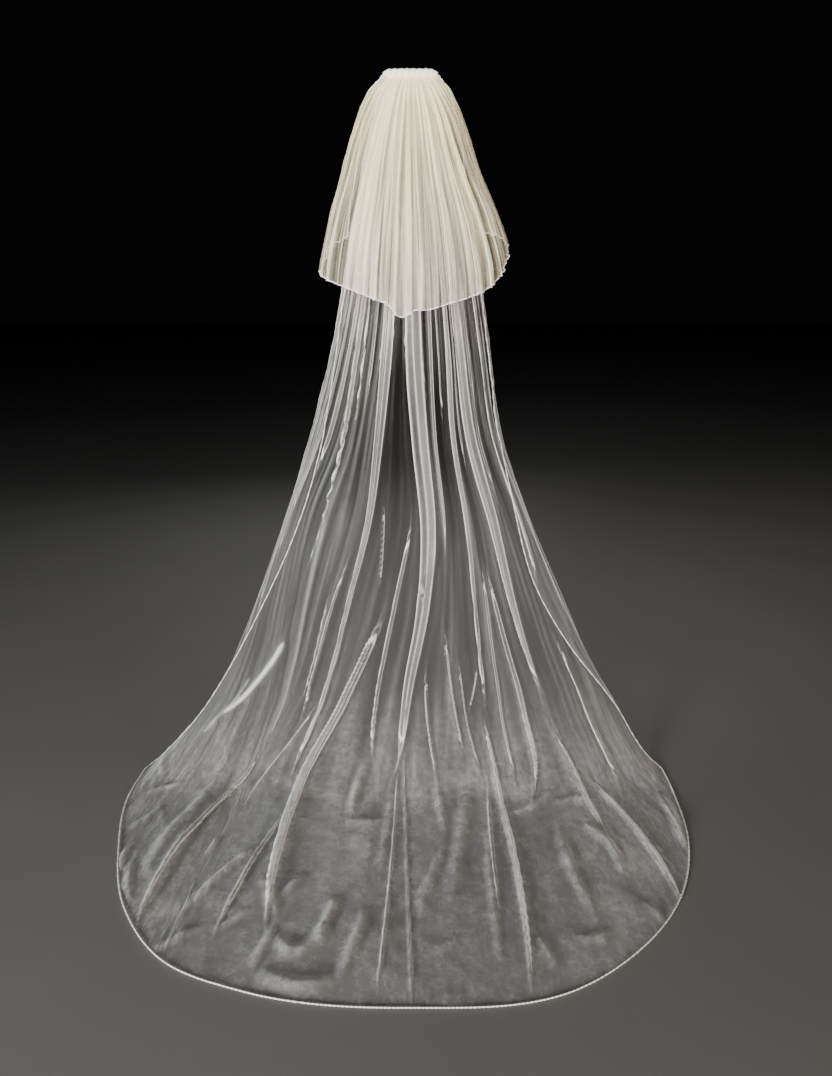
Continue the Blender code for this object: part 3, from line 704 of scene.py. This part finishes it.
def mesh_from(bm, name):
    mesh = bpy.data.meshes.new(name)
    bm.to_mesh(mesh)
    bm.free()
    mesh.shade_smooth()
    return mesh


def tulle_sheet(name, tier, columns, rows, material):
    """Thin sheet of net on the form of its tier, with its cut as UV map in metres."""
    bm = bmesh.new()
    bmesh.ops.create_grid(bm, x_segments=columns, y_segments=rows, size=1)
    flat = np.array([vert.co for vert in bm.verts])
    points, cut_across, run, marks = tier(flat[:, 0], (1 - flat[:, 1]) / 2)
    uv = bm.loops.layers.uv.new("cloth")
    for name_of_mark, values in marks.items():
        mark = bm.verts.layers.float.new(name_of_mark)
        for vert, value in zip(bm.verts, values):
            vert[mark] = value
    for vert, point in zip(bm.verts, points):
        vert.co = point
    for face in bm.faces:
        for loop in face.loops:
            loop[uv].uv = (cut_across[loop.vert.index], run[loop.vert.index])
    return piece(name, mesh_from(bm, name), material)


def edge_cord(name, sheet, columns, rows, material):
    """Satin cord sewn round the sides and hem of a sheet."""
    across = columns + 1
    left = [row * across for row in range(rows - 1, 0, -1)]
    hem = list(range(across))
    right = [row * across + columns for row in range(1, rows)]
    border = [sheet.data.vertices[i] for i in left + hem + right]
    edge = np.array([vert.co for vert in border])
    out = np.array([vert.normal for vert in border])
    away = unit(np.cross(unit(np.gradient(edge, axis=0)), out))
    route = edge + away * CORD_RADIUS * 0.8
    route[:, 2] = np.maximum(route[:, 2], CORD_RADIUS + FLOOR_GAP - FLOOR_DROP)
    curve = bpy.data.curves.new(name, "CURVE")
    curve.dimensions = "3D"
    curve.bevel_depth = CORD_RADIUS
    curve.bevel_resolution = 2
    curve.use_fill_caps = True
    spline = curve.splines.new("POLY")
    spline.points.add(len(route) - 1)
    swell = CORD_SWELL + CORD_BEAD * np.sin(np.arange(len(route)) * CORD_BEAD_TURN)
    for point, place, size in zip(spline.points, route, swell):
        point.co = (*place, 1)
        point.radius = size
    loose = bpy.data.objects.new(name, curve)
    mesh = bpy.data.meshes.new_from_object(loose)
    bpy.data.objects.remove(loose)
    mesh.name = name
    mesh.shade_smooth()
    return piece(name, mesh, material)


# The gathered heading: its extents, puffs, pleats and layers of net
HEADING_HALF_WIDTH = 0.066
HEADING_BOTTOM = 0.0003
HEADING_TOP = 0.021
HEADING_BACK = -0.020
HEADING_FRONT = 0.001
HEADING_PUFFS = 9
HEADING_PLEATS = 44
HEADING_LAYERS = 14.0


def gathered_roll(material):
    """Puffed roll of tulle at the comb, with its pleats drawn up tight."""
    bm = bmesh.new()
    bmesh.ops.create_grid(bm, x_segments=300, y_segments=40, size=1)
    flat = np.array([vert.co for vert in bm.verts])
    place, turn = flat[:, 0], flat[:, 1] * pi
    puff = np.abs(np.sin(place * pi * HEADING_PUFFS / 2))
    pleat = crest(place * HEADING_PLEATS / 2 + 0.25 * np.sin(turn * 2 + place * 9))
    ends = np.clip(1 - np.abs(place) ** 10, 0, 1) ** 0.5
    full = (0.80 + 0.12 * puff + 0.13 * pleat) * (1 - 0.25 * np.abs(place) ** 5) * ends
    middle_y = (HEADING_FRONT + HEADING_BACK) / 2
    half_depth = (HEADING_FRONT - HEADING_BACK) / 2
    height = HEADING_TOP - HEADING_BOTTOM
    y = middle_y + half_depth * full * np.cos(turn)
    z = HEADING_BOTTOM + height * (0.5 + 0.5 * full * np.sin(turn)) - 0.12 * height * (1 - full)
    uv = bm.loops.layers.uv.new("cloth")
    density = bm.verts.layers.float.new("layers")
    for i, vert in enumerate(bm.verts):
        vert.co = (place[i] * HEADING_HALF_WIDTH, y[i], z[i])
        vert[density] = HEADING_LAYERS
    for face in bm.faces:
        for loop in face.loops:
            i = loop.vert.index
            loop[uv].uv = (place[i] * 0.6, turn[i] * half_depth)
    bmesh.ops.remove_doubles(bm, verts=bm.verts, dist=0.00002)
    bmesh.ops.recalc_face_normals(bm, faces=bm.faces)
    return piece("gathered_roll", mesh_from(bm, "gathered_roll"), material)


def group(name, inputs, outputs):
    """Empty shader node group with its named inputs and outputs."""
    tree = bpy.data.node_groups.new(name, "ShaderNodeTree")
    for label, kind, value in inputs:
        socket = tree.interface.new_socket(label, in_out="INPUT", socket_type=kind)
        if value is not None:
            socket.default_value = value
    for label, kind in outputs:
        tree.interface.new_socket(label, in_out="OUTPUT", socket_type=kind)
    return tree, tree.nodes.new("NodeGroupInput"), tree.nodes.new("NodeGroupOutput")


def math(tree, operation, *values):
    """Math node whose inputs are sockets or numbers."""
    node = tree.nodes.new("ShaderNodeMath")
    node.operation = operation
    for socket, value in zip(node.inputs, values):
        if isinstance(value, bpy.types.NodeSocket):
            tree.links.new(value, socket)
        else:
            socket.default_value = value
    return node.outputs[0]


def spread(tree, value, low, high):
    """Map a value from 0..1 to low..high."""
    return math(tree, "MULTIPLY_ADD", value, high - low, low)


def net_group():
    """Net of fine threads in three directions: 1 on a thread and 0 in a hole."""
    tree, given, out = group("tulle net", [("Cloth", "NodeSocketVector", None),
                                           ("Hole size", "NodeSocketFloat", 0.0016)],
                             [("Thread", "NodeSocketFloat")])
    split = tree.nodes.new("ShaderNodeSeparateXYZ")
    tree.links.new(given.outputs["Cloth"], split.inputs[0])
    across = math(tree, "DIVIDE", split.outputs[0], given.outputs["Hole size"])
    down = math(tree, "DIVIDE", split.outputs[1], given.outputs["Hole size"])
    threads = []
    for along_across, along_down in ((1.0, 0.0), (0.5, 0.866), (0.5, -0.866)):
        lines = math(tree, "MULTIPLY", down, along_down)
        lines = math(tree, "MULTIPLY_ADD", across, along_across, lines)
        threads.append(math(tree, "ABSOLUTE", math(tree, "SUBTRACT", math(tree, "FRACT", lines), 0.5)))
    nearest = math(tree, "MAXIMUM", math(tree, "MAXIMUM", threads[0], threads[1]), threads[2])
    tree.links.new(math(tree, "POWER", math(tree, "MULTIPLY", nearest, 2.0), 5.0), out.inputs["Thread"])
    return tree


def cloth_group():
    """Uneven cloth: long streaks down the gathers, a soft mottle, and clouds for painted soft shade and
    light.
    """
    tree, given, out = group("uneven tulle", [("Cloth", "NodeSocketVector", None),
                                              ("Streaks per metre", "NodeSocketFloat", 42.0),
                                              ("Mottle per metre", "NodeSocketFloat", 85.0)],
                             [("Streak", "NodeSocketFloat"), ("Mottle", "NodeSocketFloat"),
                              ("Shade cloud", "NodeSocketFloat")])
    split = tree.nodes.new("ShaderNodeSeparateXYZ")
    tree.links.new(given.outputs["Cloth"], split.inputs[0])
    streaks = tree.nodes.new("ShaderNodeTexNoise")
    streaks.noise_dimensions = "2D"
    streaks.inputs["Scale"].default_value = 1.0
    streaks.inputs["Detail"].default_value = 4.0
    place = tree.nodes.new("ShaderNodeCombineXYZ")
    streaks_across = math(tree, "MULTIPLY", split.outputs[0], given.outputs["Streaks per metre"])
    tree.links.new(streaks_across, place.inputs[0])
    tree.links.new(math(tree, "MULTIPLY", split.outputs[1], 1.6), place.inputs[1])
    tree.links.new(place.outputs[0], streaks.inputs["Vector"])
    tree.links.new(streaks.outputs["Fac"], out.inputs["Streak"])
    mottle = tree.nodes.new("ShaderNodeTexNoise")
    mottle.noise_dimensions = "2D"
    mottle.inputs["Detail"].default_value = 5.0
    mottle.inputs["Roughness"].default_value = 0.8
    long = tree.nodes.new("ShaderNodeCombineXYZ")
    tree.links.new(split.outputs[0], long.inputs[0])
    tree.links.new(math(tree, "MULTIPLY", split.outputs[1], 0.45), long.inputs[1])
    tree.links.new(long.outputs[0], mottle.inputs["Vector"])
    tree.links.new(given.outputs["Mottle per metre"], mottle.inputs["Scale"])
    tree.links.new(mottle.outputs["Fac"], out.inputs["Mottle"])
    cloud = tree.nodes.new("ShaderNodeTexNoise")
    cloud.noise_dimensions = "2D"
    cloud.inputs["Scale"].default_value = 9.0
    cloud.inputs["Detail"].default_value = 3.0
    cloud.inputs["Distortion"].default_value = 1.2
    tree.links.new(long.outputs[0], cloud.inputs["Vector"])
    tree.links.new(cloud.outputs["Fac"], out.inputs["Shade cloud"])
    return tree


def bell(tree, value, middle, width):
    """1 at the middle, falling off on both sides."""
    away = math(tree, "DIVIDE", math(tree, "SUBTRACT", value, middle), width)
    return math(tree, "EXPONENT", math(tree, "MULTIPLY", math(tree, "MULTIPLY", away, away), -1.0))


def turns_group():
    """Layers of net that lie edge on along the turns of a fold."""
    tree, given, out = group("fold turns", [("Fold", "NodeSocketFloat", FOLD_FAR),
                                            ("Stack", "NodeSocketFloat", 0.0),
                                            ("Under", "NodeSocketFloat", 0.0)],
                             [("Layers", "NodeSocketFloat")])
    fold = given.outputs["Fold"]
    under = math(tree, "MULTIPLY", bell(tree, fold, 1 - FOLD_TURN, TURN_WIDTH), given.outputs["Under"])
    upper = bell(tree, fold, FOLD_TURN, TURN_WIDTH)
    lines = math(tree, "MULTIPLY_ADD", upper, given.outputs["Stack"], under)
    tree.links.new(lines, out.inputs["Layers"])
    return tree


def material_with(name, roughness):
    material = bpy.data.materials.new(name)
    material.use_nodes = True
    shader = material.node_tree.nodes["Principled BSDF"]
    shader.inputs["Roughness"].default_value = roughness
    return material, material.node_tree, shader


def mixed(tree, share, first, second):
    """Colour between two colours or colour sockets."""
    node = tree.nodes.new("ShaderNodeMix")
    node.data_type = "RGBA"
    tree.links.new(share, node.inputs["Factor"])
    for socket, value in zip((node.inputs[6], node.inputs[7]), (first, second)):
        if isinstance(value, bpy.types.NodeSocket):
            tree.links.new(value, socket)
        else:
            socket.default_value = (*value, 1)
    return node.outputs[2]


def ramp(tree, value, low, high):
    """0 at low, 1 at high, held between."""
    node = tree.nodes.new("ShaderNodeMapRange")
    tree.links.new(value, node.inputs["Value"])
    node.inputs["From Min"].default_value = low
    node.inputs["From Max"].default_value = high
    return node.outputs["Result"]


def swing(tree, value, octaves):
    """Noise around a half as octaves up or down."""
    return math(tree, "MULTIPLY", math(tree, "SUBTRACT", value, 0.5), octaves)


def tulle(name, cover, streaks, grain_octaves, pale, warm, warm_from, warm_to):
    """Sheer net that closes up where it is drawn together or seen edge on."""
    material, tree, shader = material_with(name, 0.75)
    shader.inputs["Sheen Weight"].default_value = 0.35
    shader.inputs["Sheen Roughness"].default_value = 0.4
    shader.inputs["Specular IOR Level"].default_value = 0.25
    cloth = tree.nodes.new("ShaderNodeUVMap")
    cloth.uv_map = "cloth"
    threads = tree.nodes.new("ShaderNodeGroup")
    threads.node_tree = NET
    variation = tree.nodes.new("ShaderNodeGroup")
    variation.node_tree = UNEVEN
    for node in (threads, variation):
        tree.links.new(cloth.outputs[0], node.inputs["Cloth"])
    turns = tree.nodes.new("ShaderNodeGroup")
    turns.node_tree = TURNS
    layers, *marks = (tree.nodes.new("ShaderNodeAttribute") for _ in MARKS)
    for node, mark in zip((layers, *marks), MARKS):
        node.attribute_name = mark
    for node, socket in zip(marks, turns.inputs):
        tree.links.new(node.outputs["Fac"], socket)
    along = tree.nodes.new("ShaderNodeSeparateXYZ")
    tree.links.new(cloth.outputs[0], along.inputs[0])
    laid = ramp(tree, along.outputs[1], 1.3, 2.0)
    streak = swing(tree, variation.outputs["Streak"], spread(tree, laid, streaks, 0.3 * streaks))
    grain_swing = spread(tree, laid, 0.4 * grain_octaves, grain_octaves)
    mottle = swing(tree, variation.outputs["Mottle"], grain_swing)
    # Painted soft shade and light on the train: clouds that swing its layers of net up and down
    cloud = swing(tree, variation.outputs["Shade cloud"], spread(tree, laid, 0.0, SHADE_CLOUD_OCTAVES))
    octaves = math(tree, "ADD", math(tree, "ADD", streak, mottle), cloud)
    count = math(tree, "MULTIPLY", layers.outputs["Fac"], math(tree, "POWER", 2.0, octaves))
    count = math(tree, "ADD", count, turns.outputs["Layers"])
    count = math(tree, "MULTIPLY", count, spread(tree, threads.outputs["Thread"], 0.86, 1.35))
    view = tree.nodes.new("ShaderNodeLayerWeight")
    head_on = math(tree, "MAXIMUM", math(tree, "SUBTRACT", 1.0, view.outputs["Facing"]), EDGE_ON)
    seen = math(tree, "DIVIDE", count, head_on)
    clear = math(tree, "POWER", 1 - cover, seen)
    tree.links.new(math(tree, "SUBTRACT", 1.0, clear), shader.inputs["Alpha"])
    place = tree.nodes.new("ShaderNodeTexCoord")
    split = tree.nodes.new("ShaderNodeSeparateXYZ")
    tree.links.new(place.outputs["Object"], split.inputs[0])
    high = ramp(tree, split.outputs[2], warm_from, warm_to)
    tone = math(tree, "MULTIPLY", high, spread(tree, variation.outputs["Streak"], 0.5, 1.3))
    tree.links.new(mixed(tree, tone, pale, warm), shader.inputs["Base Color"])
    return material


def satin(name, colour, painted_groove_shade):
    """Twisted satin cord, with painted shade in the grooves of its twist."""
    material, tree, shader = material_with(name, 0.42)
    shader.inputs["Sheen Weight"].default_value = 0.3
    place = tree.nodes.new("ShaderNodeTexCoord")
    twist = tree.nodes.new("ShaderNodeTexWave")
    twist.bands_direction = "DIAGONAL"
    twist.inputs["Scale"].default_value = 260.0
    twist.inputs["Distortion"].default_value = 1.5
    tree.links.new(place.outputs["Object"], twist.inputs["Vector"])
    bump = tree.nodes.new("ShaderNodeBump")
    bump.inputs["Strength"].default_value = 0.35
    bump.inputs["Distance"].default_value = 0.0004
    tree.links.new(twist.outputs["Fac"], bump.inputs["Height"])
    tree.links.new(bump.outputs[0], shader.inputs["Normal"])
    # Painted shade: the cord's colour darkens where its twist dips into a groove
    tree.links.new(mixed(tree, twist.outputs["Fac"], painted_groove_shade, colour), shader.inputs["Base Color"])
    return material


def clear_plastic():
    """Clear moulded plastic of the comb."""
    material, tree, shader = material_with("clear_comb_plastic", 0.2)
    shader.inputs["IOR"].default_value = 1.47
    place = tree.nodes.new("ShaderNodeTexCoord")
    flow = tree.nodes.new("ShaderNodeTexNoise")
    flow.inputs["Scale"].default_value = 120.0
    tree.links.new(place.outputs["Object"], flow.inputs["Vector"])
    tree.links.new(spread(tree, flow.outputs["Fac"], 0.12, 0.30), shader.inputs["Roughness"])
    tree.links.new(mixed(tree, flow.outputs["Fac"], (0.62, 0.64, 0.58), (0.80, 0.81, 0.76)),
                   shader.inputs["Base Color"])
    return material


def studio_floor():
    """Plain grey floor."""
    material, tree, shader = material_with("grey_floor", 0.9)
    place = tree.nodes.new("ShaderNodeTexCoord")
    cloud = tree.nodes.new("ShaderNodeTexNoise")
    cloud.inputs["Scale"].default_value = 3.0
    tree.links.new(place.outputs["Object"], cloud.inputs["Vector"])
    tree.links.new(mixed(tree, cloud.outputs["Fac"], (0.150, 0.148, 0.145), (0.170, 0.168, 0.164)),
                   shader.inputs["Base Color"])
    bm = bmesh.new()
    bmesh.ops.create_grid(bm, x_segments=1, y_segments=1, size=40)
    bmesh.ops.translate(bm, verts=bm.verts, vec=(0, 0, -FLOOR_DROP - FLOOR_GAP))
    mesh = mesh_from(bm, "studio_floor")
    floor = bpy.data.objects.new("studio_floor", mesh)
    bpy.context.scene.collection.objects.link(floor)
    mesh.materials.append(material)


def soft_light(name, place, target, size, power, colour=(1, 1, 1), spread=180):
    light = bpy.data.lights.new(name, "AREA")
    light.shape = "DISK"
    light.size = size
    light.energy = power
    light.color = colour
    light.spread = radians(spread)
    obj = bpy.data.objects.new(name, light)
    obj.location = place
    obj.rotation_euler = (Vector(target) - Vector(place)).to_track_quat("-Z", "Y").to_euler()
    bpy.context.scene.collection.objects.link(obj)


def studio():
    scene = bpy.context.scene
    scene.cycles.transparent_max_bounces = 48
    world = bpy.data.worlds.new("studio")
    world.use_nodes = True
    world.node_tree.nodes["Background"].inputs["Color"].default_value = (0.002, 0.002, 0.002, 1)
    world.node_tree.nodes["Background"].inputs["Strength"].default_value = 1.0
    scene.world = world
    soft_light("key_light", (-2.6, -4.3, -1.1), (0, -0.1, -0.8), 1.3, 440)
    soft_light("fill_light", (3.0, -4.0, -1.1), (0, -0.1, -0.7), 1.3, 130, (1.0, 0.86, 0.70))
    soft_light("upper_light", (-0.9, -1.9, 0.4), (0, 0, -0.2), 0.9, 10, spread=70)
    soft_light("top_light", (0.3, -0.6, 2.0), (0, -0.3, -1.0), 1.6, 8)
    soft_light("back_light", (-0.6, 2.8, 0.6), (0, 0, -0.9), 1.6, 20)
    camera = bpy.data.cameras.new("camera")
    camera.lens = 26.0
    camera.clip_start = 0.01
    seen = bpy.data.objects.new("camera", camera)
    seen.location = (0.0134, -2.10, -0.4947)
    seen.rotation_euler = (radians(90 - 17.3), 0, 0)
    scene.collection.objects.link(seen)
    scene.camera = seen


NET, UNEVEN, TURNS = net_group(), cloth_group(), turns_group()
long_net = tulle("long_tulle", 0.045, 6.5, 4.0, (0.86, 0.86, 0.85), (0.90, 0.83, 0.66), -0.9, -0.2)
short_net = tulle("short_tulle", 0.045, 8.0, 3.0, (0.90, 0.85, 0.72), (0.95, 0.82, 0.50), -0.7, -0.1)
heading_net = tulle("gathered_tulle", 0.16, 3.0, 2.0, (0.88, 0.84, 0.76), (0.90, 0.84, 0.72), -0.1, 0.0)
cord_satin = satin("edge_satin", (0.93, 0.92, 0.89), (0.78, 0.77, 0.74))

long_sheet = tulle_sheet("long_tulle_sheet", lower_tier, LOWER_COLUMNS, LOWER_ROWS,
                         long_net)
short_sheet = tulle_sheet("short_tulle_sheet", upper_tier, UPPER_COLUMNS, UPPER_ROWS,
                          short_net)
long_cord = edge_cord("long_edge_satin", long_sheet, LOWER_COLUMNS, LOWER_ROWS, cord_satin)
short_cord = edge_cord("short_edge_satin", short_sheet, UPPER_COLUMNS, UPPER_ROWS, cord_satin)
roll = gathered_roll(heading_net)

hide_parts("lower_tier")
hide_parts("upper_tier")
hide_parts("lower_edge_cord")
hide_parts("upper_edge_cord")
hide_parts("gathered_heading")
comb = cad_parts["comb"]
comb.data.materials.clear()
comb.data.materials.append(clear_plastic())

studio_floor()
studio()
